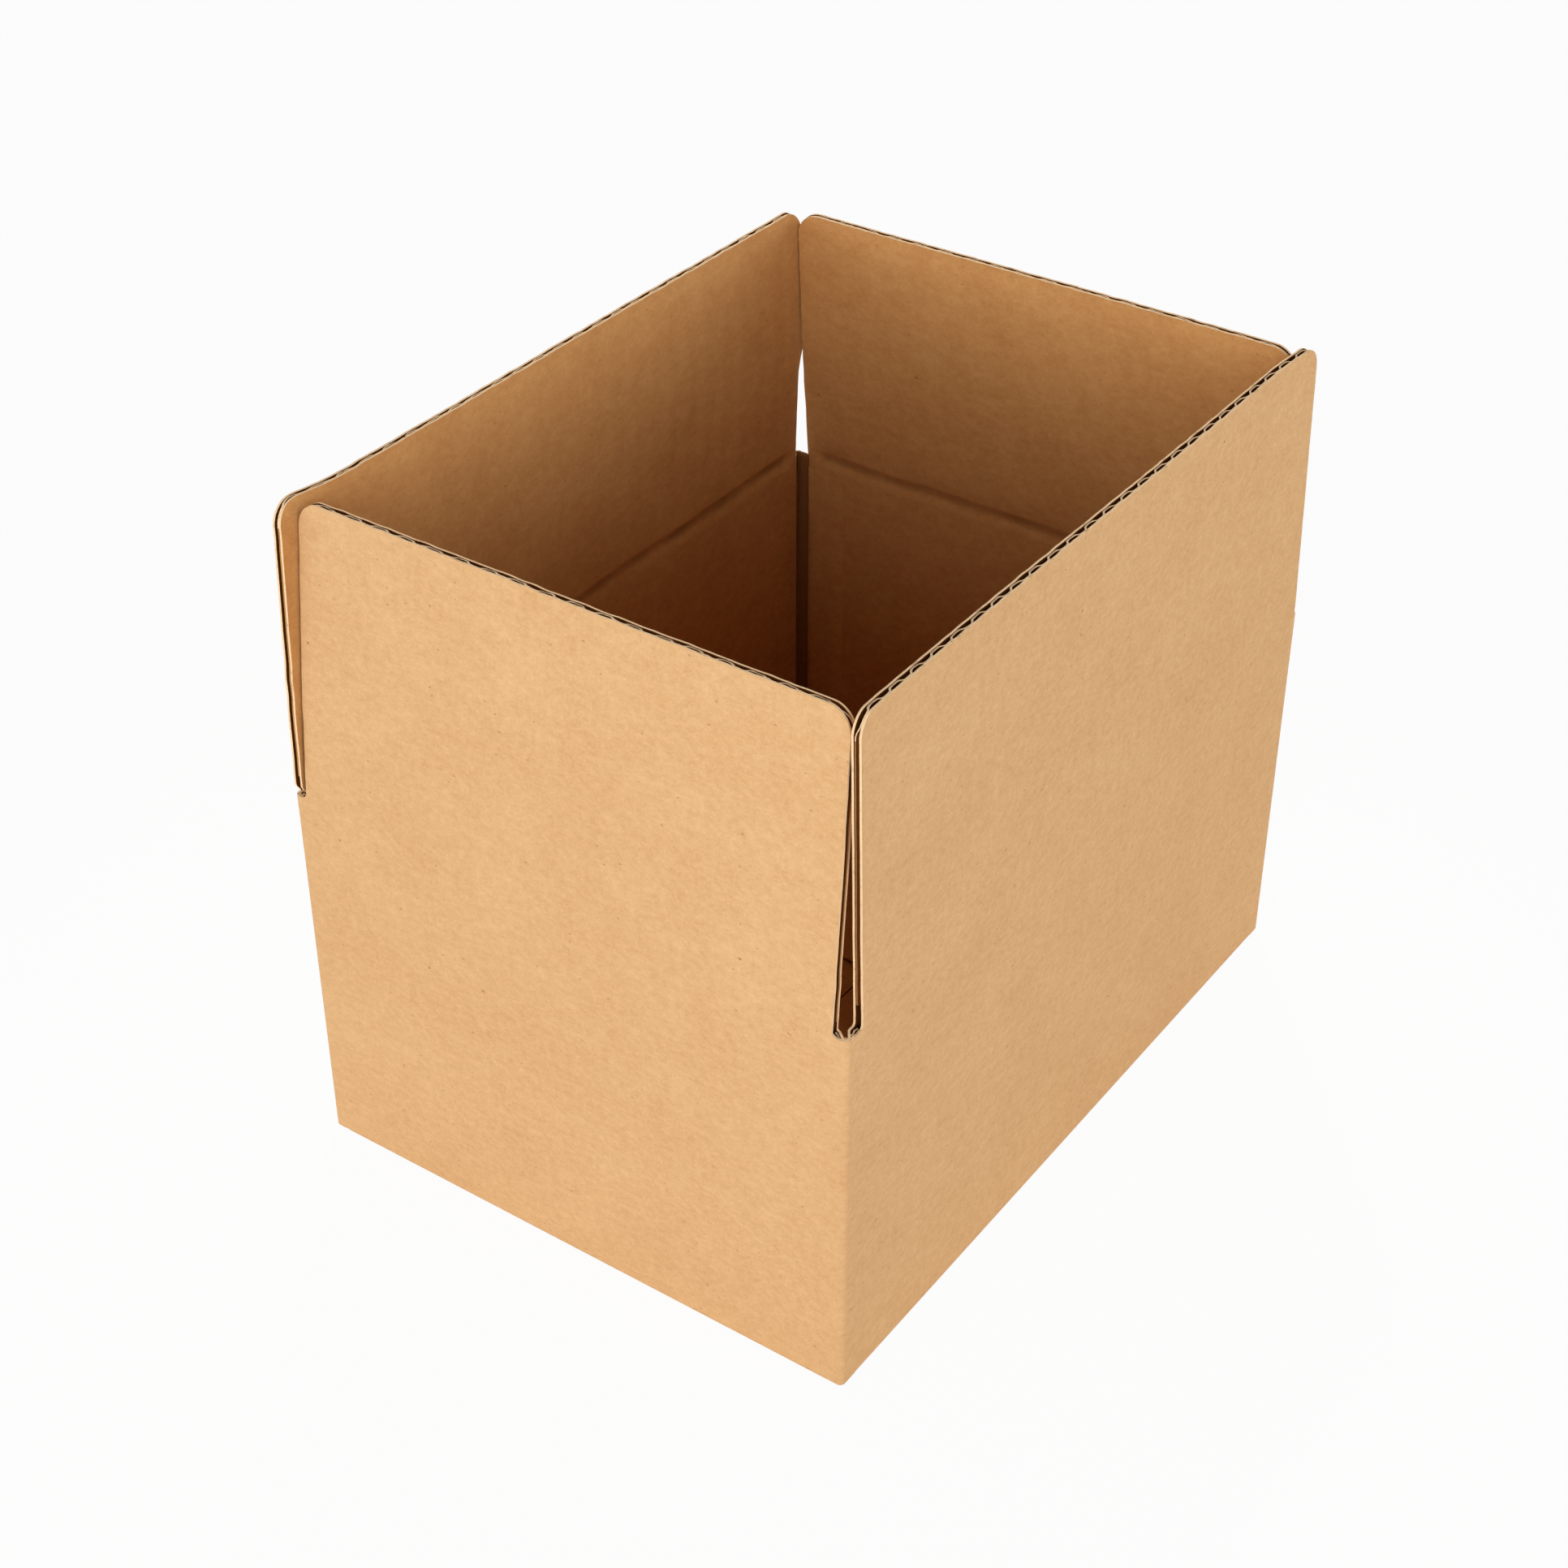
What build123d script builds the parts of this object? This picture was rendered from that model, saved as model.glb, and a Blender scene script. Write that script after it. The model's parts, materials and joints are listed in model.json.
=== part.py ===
"""Open corrugated shipping carton, folded from one sheet, with its four top flaps raised.

Millimetres, +Z up. The origin is on the floor under the middle of the carton, X runs along
the length and Y along the width. The long walls are the sides, the short walls are the ends.
"""
import os
from math import atan2, cos, degrees, hypot, radians, sin

from build123d import *

# Carton, measured outside
length = 200.0
width = 150.0
side_crease_height = 100.2

# Corrugated board
board = 2.4
liner = 0.35
medium = 0.3
flute_pitch = 7.5
flank_run = 2.2
crown_radius = 1.6

# Cut lines of the blank
side_slot = 5.0
end_slot = 4.2
slot_overcut = 0.6
slot_radius = 2.0
flap_meeting_gap = 2.0
flap_taper = 1.6
flap_corner_radius = 5.4

# Folds and creases
wall_fold_radius = 2.0
floor_fold_radius = 1.2
crease_gap = 0.6
crease_land = 0.15
crushed_band = 4.0
closing_clearance = 0.3
front_lean_degrees = 2.0
back_lean_degrees = 2.3
end_lean_degrees = 2.9

# Glue tab, on the back side wall, inside the right end wall
tab_width = 15.0
tab_board = 1.5
tab_taper = 4.0
tab_clearance = 0.5
joint_groove_width = 0.8
joint_groove_depth = 1.0

# Overrun of cutting shapes past the faces that they open
overrun = 1.0

# Sizes that follow from the ones above: all flaps end on one straight cut of the blank
end_crease_drop = board + closing_clearance
end_crease_height = side_crease_height - end_crease_drop
side_flap_reach = (width - flap_meeting_gap) / 2
end_flap_reach = side_flap_reach + end_crease_drop
side_flap_span = length - 2 * side_slot
end_flap_span = width - 2 * end_slot
slot_floor = end_crease_height - slot_overcut
half_gap = crease_gap / 2
bevel = board - crease_land

# One flute cell: a trapezoid between a liner and the fluted medium
half_pitch = flute_pitch / 2
core = board - 2 * liner
cell_height = core - medium
flank_angle = degrees(atan2(cell_height, flank_run))
web = medium * hypot(flank_run, cell_height) / cell_height
crown_width = half_pitch - 2 * flank_run + flank_run * core / cell_height - web
cell_base = crown_width + 2 * flank_run

UP = Vector(0, 0, 1)
FRONT, BACK = Vector(0, 1, 0), Vector(0, -1, 0)
LEFT, RIGHT = Vector(1, 0, 0), Vector(-1, 0, 0)


def crease_plane(inward, reach_out, height, lean_degrees=0):
    """Plane across a crease: X goes inward through the board, Y up the panel, Z along the crease."""
    lean = radians(lean_degrees)
    through = inward * cos(lean) - UP * sin(lean)
    return Plane(origin=UP * height - inward * reach_out, x_dir=through, z_dir=inward.cross(UP))


def flute_places(span, depth, first):
    """Centres of every second cell along an edge, on the liner face at the given depth."""
    count = round(span / half_pitch) + 1
    start = -(count - 1) / 2 * half_pitch
    return [(start + index * half_pitch, depth) for index in range(first, count, 2)]


with BuildSketch() as flute_cell:
    Trapezoid(cell_base, cell_height, flank_angle, align=(Align.CENTER, Align.MIN))
    fillet(flute_cell.vertices().group_by(Axis.Y)[-1], crown_radius)


def corrugated_flap(crease, span, reach):
    """A flap with open flutes: bevelled at its crease and tapered to a free edge with round corners."""
    outer_face = Plane(crease.origin, x_dir=-crease.z_dir, z_dir=crease.x_dir)
    free_edge = Plane(crease.origin + crease.y_dir * reach, x_dir=crease.z_dir, z_dir=crease.y_dir)
    with BuildPart() as flap:
        with BuildSketch(outer_face) as outline:
            with BuildLine():
                Polyline(
                    (-span / 2, half_gap),
                    (span / 2, half_gap),
                    (span / 2 - flap_taper, reach),
                    (flap_taper - span / 2, reach),
                    close=True,
                )
            make_face()
            fillet(outline.vertices().group_by(Axis.Y)[-1], flap_corner_radius)
        extrude(amount=board)
        with BuildSketch(crease):
            with BuildLine():
                Polyline(
                    (crease_land, half_gap),
                    (board + overrun, half_gap),
                    (board + overrun, half_gap + bevel + overrun),
                    close=True,
                )
            make_face()
        extrude(amount=span / 2 + overrun, both=True, mode=Mode.SUBTRACT)
        with BuildSketch(free_edge):
            with Locations(*flute_places(span, liner, 0)):
                add(flute_cell.sketch)
            with Locations(*flute_places(span, board - liner, 1)):
                add(flute_cell.sketch, rotation=180)
        extrude(amount=crushed_band - reach, mode=Mode.SUBTRACT)
    return flap


# Walls, floor flaps and glue tab: the folded and glued part of the sheet
with BuildPart() as box_body:
    with BuildSketch() as wall_plan:
        Rectangle(length, width)
        joint_corner = (length / 2, width / 2, 0)
        fillet(wall_plan.vertices().sort_by_distance(joint_corner)[1:], wall_fold_radius)
        Rectangle(length - 2 * board, width - 2 * board, mode=Mode.SUBTRACT)
    extrude(amount=side_crease_height - half_gap)

    # Rounded folds along the floor
    floor_ring = box_body.faces().sort_by(Axis.Z)[0]
    fillet(floor_ring.outer_wire().edges(), floor_fold_radius)

    # Side floor flaps, outside, meeting along the middle
    with BuildSketch():
        with GridLocations(0, width - board - side_flap_reach, 1, 2):
            Rectangle(side_flap_span, side_flap_reach - board)
    extrude(amount=board)

    # End floor flaps, folded at floor level and climbing onto the side floor flaps
    climb = board / side_slot
    for inward in (LEFT, RIGHT):
        with BuildSketch(crease_plane(inward, length / 2, 0)):
            with BuildLine():
                Polyline(
                    (board, board * climb),
                    (side_slot, board),
                    (end_flap_reach, board),
                    (end_flap_reach, 2 * board),
                    (side_slot, 2 * board),
                    (board, board + board * climb),
                    close=True,
                )
            make_face()
        extrude(amount=end_flap_span / 2, both=True)

    # Slots between the flaps at the four corners, below and above
    for level, depth in ((0, slot_overcut), (slot_floor, side_crease_height)):
        with BuildSketch(Plane.XY.offset(level)):
            with GridLocations(length - side_slot, width - end_slot, 2, 2):
                Rectangle(side_slot, end_slot)
        extrude(amount=depth, mode=Mode.SUBTRACT)

    # End walls are creased lower, so that the side flaps close over the end flaps
    with BuildSketch(Plane.XY.offset(end_crease_height - half_gap)):
        with GridLocations(length - board, 0, 2, 1):
            Rectangle(board, end_flap_span)
    extrude(amount=end_crease_drop, mode=Mode.SUBTRACT)

    # Rounded ends of the slots
    slot_edges = box_body.edges().filter_by(Axis.Y).filter_by_position(
        Axis.Z, slot_floor, slot_floor
    )
    slot_sides = slot_edges.filter_by(lambda edge: abs(abs(edge.center().X) - side_flap_span / 2) < half_gap)
    fillet(slot_sides, slot_radius)

    # Crushed creases on the inside of the walls
    for inward, reach_out, height, span in (
        (FRONT, width / 2, side_crease_height, side_flap_span),
        (BACK, width / 2, side_crease_height, side_flap_span),
        (LEFT, length / 2, end_crease_height, end_flap_span),
        (RIGHT, length / 2, end_crease_height, end_flap_span),
    ):
        with BuildSketch(crease_plane(inward, reach_out, height)):
            with BuildLine():
                Polyline(
                    (crease_land, -half_gap),
                    (board + overrun, -half_gap),
                    (board + overrun, -half_gap - bevel - overrun),
                    close=True,
                )
            make_face()
        extrude(amount=span / 2, both=True, mode=Mode.SUBTRACT)

    # Glue tab with tapered ends, flat on the inside of the right end wall
    tab_low = 2 * board + tab_clearance
    tab_high = end_crease_height - board - tab_clearance
    tab_root = width / 2 - board
    tab_edge = width / 2 - tab_width
    with BuildSketch(Plane.YZ.offset(length / 2 - board)):
        with BuildLine():
            Polyline(
                (tab_root, tab_low),
                (tab_root, tab_high),
                (tab_edge, tab_high - tab_taper),
                (tab_edge, tab_low + tab_taper),
                close=True,
            )
        make_face()
    extrude(amount=-tab_board)

    # Groove where the right end wall's cut edge meets the fold of the tab
    with BuildSketch():
        with Locations((length / 2 - board, width / 2)):
            Rectangle(joint_groove_width, 2 * joint_groove_depth)
    extrude(amount=side_crease_height, mode=Mode.SUBTRACT)

front_flap = corrugated_flap(
    crease_plane(FRONT, width / 2, side_crease_height, front_lean_degrees), side_flap_span, side_flap_reach
)
back_flap = corrugated_flap(
    crease_plane(BACK, width / 2, side_crease_height, back_lean_degrees), side_flap_span, side_flap_reach
)
left_end_flap = corrugated_flap(
    crease_plane(LEFT, length / 2, end_crease_height, end_lean_degrees), end_flap_span, end_flap_reach
)
right_end_flap = corrugated_flap(
    crease_plane(RIGHT, length / 2, end_crease_height, end_lean_degrees), end_flap_span, end_flap_reach
)

box_body.part.label = "box_body"
front_flap.part.label = "front_flap"
back_flap.part.label = "back_flap"
left_end_flap.part.label = "left_end_flap"
right_end_flap.part.label = "right_end_flap"

os.makedirs("parts", exist_ok=True)
export_step(box_body.part, "parts/box_body.step")
export_step(front_flap.part, "parts/front_flap.step")
export_step(back_flap.part, "parts/back_flap.step")
export_step(left_end_flap.part, "parts/left_end_flap.step")
export_step(right_end_flap.part, "parts/right_end_flap.step")
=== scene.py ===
"""Open corrugated carton: walls, floor and four top flaps of layered board, in a plain studio.

Metres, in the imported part's frame. The carton is one creased sheet that starts at the glue tab and
runs round the four walls. A place on the flat sheet is its blank coordinate: the distance round the
walls, the distance up from the floor and the depth through the board from the outer face.
"""

import json
from functools import partial
from itertools import groupby
from math import cos, inf, pi, radians, sin, sqrt
from typing import NamedTuple

import bmesh
import bpy
from bpy.props import FloatProperty, FloatVectorProperty, PointerProperty
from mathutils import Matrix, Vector, noise


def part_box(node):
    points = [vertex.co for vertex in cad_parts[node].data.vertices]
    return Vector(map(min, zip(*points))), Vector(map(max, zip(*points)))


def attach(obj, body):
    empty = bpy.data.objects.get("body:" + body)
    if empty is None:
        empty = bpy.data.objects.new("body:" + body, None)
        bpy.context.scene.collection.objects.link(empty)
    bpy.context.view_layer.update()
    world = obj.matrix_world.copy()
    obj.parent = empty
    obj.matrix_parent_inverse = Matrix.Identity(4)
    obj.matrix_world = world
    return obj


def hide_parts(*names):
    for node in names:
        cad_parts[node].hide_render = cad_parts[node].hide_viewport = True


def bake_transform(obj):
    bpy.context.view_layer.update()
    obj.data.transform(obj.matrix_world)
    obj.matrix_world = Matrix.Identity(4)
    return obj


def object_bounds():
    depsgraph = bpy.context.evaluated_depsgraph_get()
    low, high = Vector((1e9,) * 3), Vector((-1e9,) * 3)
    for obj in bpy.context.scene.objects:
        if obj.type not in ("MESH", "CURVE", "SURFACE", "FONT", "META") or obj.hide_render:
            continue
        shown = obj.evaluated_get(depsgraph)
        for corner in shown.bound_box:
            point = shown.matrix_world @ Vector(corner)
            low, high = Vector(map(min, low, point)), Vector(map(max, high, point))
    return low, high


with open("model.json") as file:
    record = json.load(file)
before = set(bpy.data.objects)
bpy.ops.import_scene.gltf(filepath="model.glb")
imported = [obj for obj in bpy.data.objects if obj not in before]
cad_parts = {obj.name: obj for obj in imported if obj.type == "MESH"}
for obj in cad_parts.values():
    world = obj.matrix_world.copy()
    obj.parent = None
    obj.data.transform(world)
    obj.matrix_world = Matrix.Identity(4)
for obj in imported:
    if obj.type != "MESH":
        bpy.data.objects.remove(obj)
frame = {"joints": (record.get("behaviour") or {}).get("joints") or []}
cad_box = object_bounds()

bl_info = {
    "name": "Open Carton",
    "version": (1, 0, 0),
    "blender": (4, 5, 0),
    "location": "3D View > Sidebar > Carton",
    "description": "Builds the layered board of an open corrugated carton around its packed frame",
    "category": "Object",
}

UP = Vector((0, 0, 1))
TOLERANCE = 0.00001

# Top flaps in the order of the sheet
FLAP_NAMES = ("back", "left_end", "front", "right_end")

# Material slots of every board piece
OUTSIDE, SHADED_INSIDE, CUT, SHADED_MEDIUM = range(4)
FLUTED = (SHADED_MEDIUM, SHADED_MEDIUM)

# How the sheet is divided into columns and rows
TURN_PARTS = 8
FLOOR_TURN_PARTS = 5
FLUTE_PARTS = 8
TAB_STEP_PARTS = 3
CORNER_PARTS = 9
BEND_STEPS = 24
CORNER_STEP = 0.00045
SLIT_WIDTH = 0.0003
WALL_FOOT = 0.004
WALL_ROW_STEP = 0.0075
FLOOR_ROW_SHARE = 0.1
SLOT_ROW_SHARES = (0.34, 0.67, 0.88, 1.0)
SLOT_FLUTE_ROWS = (0.0, 0.4, 0.7, 0.85, 1.0)
CREASE_ROWS_END = 0.006
CREASE_ROW_STEP = 0.0005
FLAP_ROW_STEP = 0.004
EDGE_ROWS_START = 0.006
EDGE_ROW_SHARES = (0.75, 0.5, 0.3, 0.15, 0.05, 0.0)
SHARP_ANGLE = radians(38)

# Upright folds, slots and the glued joint
INNER_FOLD_SHARE = 0.8
MIN_FOLD_RADIUS = 0.00025
GROOVE_FLANK = 0.0012
MIN_SLOT = 0.0018
GLUE_SINK = 0.0003
JOINT_SLOT_DROP = 0.002
TAB_CLEARANCE = 0.0005
TAB_RISE = 0.0027
TAB_TAPER = 0.0004
TAB_FADE = 0.003
TAB_EDGE_SHARE = 0.27
TAB_TOP_SHARE = 0.12

# Floor flaps
FLOOR_FOLD_SHARE = 0.5
FLOOR_START = 0.0032
FLOOR_EDGE = (0.93, 1.0)
FLOOR_EDGE_CRUSH = 0.5
CLIMB = (0.0018, 0.005)
CORNER_LIFT = 0.0011

# Fluted sheet at the open edges
FLUTE_SHOWN = 0.012
FLUTE_RECESS = 0.0003
FLUTE_RECESS_MEAN = 0.7
FLUTE_RECESS_SPREAD = 0.6
FLUTE_RECESS_FADE = (0.06, 0.07)
FLUTE_DRIFT_REACH = 0.0004
FLUTE_DRIFT_STRETCH = 0.1
MEDIUM_START = 0.0055
SLOT_FLUTE_FOOT = 0.094
SLOT_FLUTE_DEPTH = 0.45
SLOT_FLUTE_SPREAD = 0.28
SLOT_FLUTE_DROP = 2.4
SLOT_FLUTE_WAVES = 1.4
SLOT_FLUTE_CRUMPLES = 0.004

# Top flaps: creases, ends and free edges
INSET_SHARES = (0.0, 0.39, 0.46, 1.0)
BEND_END = 0.005
CREASE_ABOVE = 0.85
CREASE_BELOW = 1.25
CREASE_BELOW_SPREAD = 0.35
CREASE_WANDER = 0.0007
CREASE_CRUSH_SPREAD = 0.3
CREASE_FADE = 0.006
CORNER_PULL = 2.2
FLARE_END = 0.003
END_RAGGED_WIDTH = 0.003
END_RAGGED_START = 0.006
EDGE_RAGGED_WIDTH = 0.004
BOW_REACH = 0.0004
BOW_STRETCH = 0.4
CURL_REACH = 0.018
WASHBOARD_FADE = (0.003, 0.009)
FLAP_SEED_STEP = 31.7

# Unevenness of the paper: the length of its waves, and a number that sets it apart from the others
SLOT_CUT = (0.0012, 3.1)
FLOOR_CUT = (0.003, 8.3)
SLOT_CRUMPLE = (0.0011, 5.7)
SLOT_FLUTE_TOP = (0.0009, 9.2)
CREASE_HEIGHT = (0.021, 0)
CREASE_CRUSH = (0.013, 4)
CREASE_FOOT = (0.016, 6)
FLAP_BOW = (0.085, 2)
FLAP_END_CUT = (0.004, 7)
FREE_EDGE_CUT = (0.0035, 11)
FLUTE_END = (0.0021, 17)
FLUTE_DRIFT = (0.012, 21)
LAYER_SHIFT = 9

# Noise in the paper: stretch of the sheet, scale, detail and roughness
EVEN, ROLLED, SHORT, FIBROUS = (1.0, 1.0, 1.0), (0.75, 1.0, 1.0), (0.6, 1.0, 1.0), (0.32, 1.0, 0.32)
PAPER_NOISE = {
    "clouds": (EVEN, 42.0, 4.0, 0.55),
    "patches": (ROLLED, 230.0, 3.0, 0.55),
    "flecks": (ROLLED, 640.0, 2.0, 0.6),
    "grain": (EVEN, 1500.0, 3.0, 0.7),
    "fibres": (FIBROUS, 2600.0, 2.0, 0.6),
}
CUT_FUZZ = (EVEN, 2100.0, 3.0, 0.7)
CUT_WEAR = (EVEN, 330.0, 3.0, 0.55)

# What the noise does to the shade and to the relief of the paper
MOTTLE_SHADES = {"clouds": 0.20, "patches": 0.22}
FINE_SHADES = {"flecks": 0.38, "grain": 0.36}
RELIEF = {"grain": 0.35, "fibres": 0.5, "patches": 0.4}
FLUTE_RELIEF = 0.35
DARK_FIBRES, DARK_FIBRE_SHADE = (0.60, 0.74), 0.13
PALE_FIBRES, PALE_FIBRE_SHADE = (0.40, 0.26), 0.10
SHADE_FOLLOW = (0.6, 1.0, 1.35)
KRAFT_BUMP = {"Strength": 0.28, "Distance": 0.00022}
KRAFT_ROUGHNESS = 0.82
KRAFT_ROUGHNESS_SPREAD = 0.12

# Specks: stretch of the sheet, cells per metre, rim and core, share of empty cells, channel and weight
SPECKS = (ROLLED, 170.0, (0.075, 0.03), 0.86, 0, 0.55)
FINE_SPECKS = (SHORT, 520.0, (0.16, 0.06), 0.80, 1, 0.36)
SPECK_FADE = 0.04

# Painted shade in folds and creases that have crushed the board thin, and paper on cut edges
GROOVE_SHADE_DEPTHS = (0.0019, 0.00095)
GROOVE_SHADE_TINT = (0.28, 0.2, 0.14)
CUT_SHADE = 0.92
CUT_SHADE_SPREAD = 0.35
CUT_WEAR_EDGES = (0.56, 0.72)
CUT_WEAR_SHARE = 0.35
CUT_BUMP = {"Strength": 0.5, "Distance": 0.0002}
CUT_ROUGHNESS = 0.95

# Studio
WHITE = (1, 1, 1, 1)
LIGHT_TARGET = (0.0, 0.0, 0.09)
KEY_PLACE = (-1.15, -0.28, 0.52)
KEY_SIZE = (0.9, 0.7)
RIM_PLACE = (0.61, 0.44, 1.01)
RIM_CONE = radians(19)
RIM_CONE_BLEND = 0.5
RIM_SOFTNESS = 0.08
SKY_EDGES = (0.1, 0.67)
FLOOR_HALF = 4.0
FLOOR_COLOUR = (0.9, 0.9, 0.9, 1.0)
FLOOR_WHITE_SHARE = 0.95
UNDER_WALL = 0.001
SENSOR_WIDTH = 36.0
CLIP_RANGE = (0.01, 100.0)


# Settings


def length_property(name, description, default):
    return FloatProperty(name=name, description=description, default=default, unit="LENGTH")


def lengths_property(name, description, default):
    return FloatVectorProperty(
        name=name, description=description, default=default, size=len(default), unit="LENGTH"
    )


def share_property(name, description, default):
    return FloatProperty(name=name, description=description, default=default, subtype="FACTOR")


def lean_property(flap, degrees):
    return FloatProperty(
        name=f"{flap} lean", description="Inward lean at rest", default=radians(degrees), subtype="ANGLE"
    )


def insets_property(flap, *default):
    return lengths_property(f"{flap} insets", f"Insets of the {flap.lower()} flap's ends", default)


def colour_property(name, description, default):
    return FloatVectorProperty(name=name, description=description, default=default, size=3, subtype="COLOR")


class BoardSettings(bpy.types.PropertyGroup):
    """Layers of the corrugated board."""

    board: length_property("Board", "Thickness of the whole board", 0.0024)
    liner: length_property("Liner", "Thickness of each liner sheet", 0.00052)
    medium: length_property("Medium", "Thickness of the fluted sheet", 0.00044)
    flute_pitch: length_property("Flute pitch", "Distance from flute to flute", 0.0075)
    flute_steepness: FloatProperty(
        name="Flute steepness", description="How steep the flutes' flanks are, 0 for plain waves", default=2.5
    )
    washboard: length_property("Washboard", "How far the liners sink between flutes", 0.00006)
    ragged: length_property("Ragged edge", "Unevenness of cut edges", 0.00016)


class FoldSettings(bpy.types.PropertyGroup):
    """Folds, creases and slots of the sheet."""

    wall_fold_radius: length_property("Wall fold", "Outer radius of the upright folds", 0.0013)
    tab_groove: length_property("Tab groove", "Crushed strip on the glue tab's side of its fold", 0.0055)
    groove_crush: share_property("Groove crush", "Share of the board that an upright fold takes away", 0.64)
    floor_fold_radius: length_property("Floor fold", "Outer radius of the folds along the floor", 0.0016)
    crease_reach: length_property("Crease reach", "Board below a crease that belongs to its flap", 0.003)
    crease_half: length_property("Crease half height", "Half the height of a crushed crease", 0.0031)
    side_crease_rise: length_property("Side crease rise", "Middle of a long crease above its hinge", 0.0013)
    end_crease_rise: length_property("End crease rise", "Middle of a short crease above its hinge", 0.0034)
    crease_crush: share_property("Crease crush", "Share of the board that a crease takes away", 0.42)
    slot_floor: length_property("Slot floor", "Height of the slots' lower ends", 0.1004)
    slot_radius: length_property("Slot radius", "Rounding of the slots' lower ends", 0.0008)
    flap_corner_radius: length_property("Flap corner", "Rounding of the flaps' free corners", 0.0054)
    floor_meeting_gap: length_property("Floor gap", "Gap where the floor flaps meet", 0.0004)
    side_slot: length_property("Side slot", "Inset of the long floor flaps' ends", 0.0052)
    end_slot: length_property("End slot", "Inset of the short floor flaps' ends", 0.0042)
    tab_width: length_property("Glue tab", "Width of the glue tab", 0.0162)
    tab_squeeze: share_property("Tab squeeze", "Share of the board's thickness left in the tab", 0.62)


class FlapSettings(bpy.types.PropertyGroup):
    """Leans of the top flaps and insets of their ends.

    Insets are measured from the wall's ends: first end at the crease, just below and just above half
    way and at the free edge, then second end likewise, going round the carton as the sheet does.
    """

    front_lean: lean_property("Front", 2.0)
    back_lean: lean_property("Back", 2.3)
    left_end_lean: lean_property("Left end", 5.8)
    right_end_lean: lean_property("Right end", 5.5)
    front_insets: insets_property(
        "Front", 0.0056, 0.0059, 0.0060, 0.0064, 0.0015, 0.0019, 0.0020, 0.0026
    )
    back_insets: insets_property(
        "Back", 0.0037, 0.0039, 0.0016, 0.0062, 0.0003, 0.0011, 0.00135, 0.0030
    )
    left_end_insets: insets_property(
        "Left end", 0.0034, 0.0032, 0.0033, 0.0040, 0.0040, 0.0045, 0.0046, 0.0053
    )
    right_end_insets: insets_property(
        "Right end", 0.0044, 0.0047, 0.0048, 0.0053, 0.0044, 0.0045, 0.0046, 0.0057
    )
    flutes: lengths_property(
        "Flutes", "Shift of the flutes along the back, left end, front and right end flap",
        (0.0, 0.0021, 0.0010, 0.0),
    )
    curls: lengths_property(
        "Curls", "Outward curl of the second end of each flap, in the same order",
        (0.0022, 0.0, 0.0009, 0.0),
    )
    edge_crushes: FloatVectorProperty(
        name="Edge crushes", description="Share of the board that each free edge has lost, in the same order",
        size=4, default=(0.2, 0.05, 0.0, 0.2),
    )


class FinishSettings(bpy.types.PropertyGroup):
    """Colours of the paper."""

    outside: colour_property("Outside", "Kraft liner outside", (0.70, 0.415, 0.193))
    # The inside liner is darker and browner than the outside: partly a browner paper, partly painted shade of
    # the carton's interior
    inside: colour_property("Inside", "Kraft liner inside", (0.585, 0.293, 0.1))
    cut: colour_property("Cut edge", "Freshly cut paper", (1.0, 0.70, 0.415))
    # The fluted sheet is brown kraft, painted far darker here: painted shade of the channels between the
    # liners, also on the liners' backs
    medium: colour_property("Medium", "Fluted sheet", (0.13, 0.036, 0.006))
    speck: colour_property("Speck", "Dark fibres in the paper", (0.16, 0.07, 0.022))


class StageSettings(bpy.types.PropertyGroup):
    """Camera and lights."""

    eye: FloatVectorProperty(
        name="Eye", description="Place of the camera", size=3, subtype="TRANSLATION",
        default=(-0.44957, -0.30405, 0.45944),
    )
    gaze: FloatVectorProperty(
        name="Gaze", description="Direction that the camera looks in", size=3, subtype="DIRECTION",
        default=(0.66890, 0.46802, -0.57752),
    )
    lens: FloatProperty(
        name="Lens", description="Focal length in millimetres on a 36 mm sensor", default=63.08
    )
    key_power: FloatProperty(
        name="Key", description="Power of the soft light on the left", default=3.8, unit="POWER"
    )
    rim_power: FloatProperty(
        name="Rim light", description="Power of the light from above and behind", default=17.5, unit="POWER"
    )
    horizon: FloatProperty(
        name="Horizon", description="Strength of the low light from all round", default=2.49
    )
    zenith: FloatProperty(
        name="Zenith", description="Strength of the light from straight above", default=0.05
    )


class CartonSettings(bpy.types.PropertyGroup):
    """All settings of the carton."""

    board: PointerProperty(type=BoardSettings)
    folds: PointerProperty(type=FoldSettings)
    flaps: PointerProperty(type=FlapSettings)
    finish: PointerProperty(type=FinishSettings)
    stage: PointerProperty(type=StageSettings)


# Walls, and the flat sheet that runs round them


class Wall:
    """One straight run of the sheet, looked at from outside: along goes right, inward goes away."""

    def __init__(self, inward, reach, start, end, folded_ends, squeeze=1.0, flap=None, slots=None):
        self.inward = Vector(inward)
        self.along = self.inward.cross(UP)
        self.reach = reach
        self.start = start
        self.end = end
        self.folded_start, self.folded_end = folded_ends
        self.squeeze = squeeze
        self.flap = flap
        self.slots = slots or flap.slots
        self.is_side = abs(self.along.x) > abs(self.along.y)

    def point(self, along, depth, height):
        return self.inward * (depth - self.reach) + self.along * along + UP * height


class Flap:
    """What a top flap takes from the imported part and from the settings."""

    def __init__(self, name, settings):
        joint = next(entry for entry in frame["joints"] if entry["child"] == name)
        self.name = name
        self.node = name + "_flap"
        self.hinge = Vector(joint["pos_m"])
        self.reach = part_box(self.node)[1].z - self.hinge.z
        self.lean = getattr(settings.flaps, name + "_lean")
        insets = getattr(settings.flaps, name + "_insets")
        self.first = insets[:4]
        self.second = insets[4:]
        self.slots = max(self.first[0], MIN_SLOT), max(self.second[0], MIN_SLOT)
        place = FLAP_NAMES.index(name)
        self.flutes = settings.flaps.flutes[place]
        self.curl = settings.flaps.curls[place]
        self.edge_crush = settings.flaps.edge_crushes[place]


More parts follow.
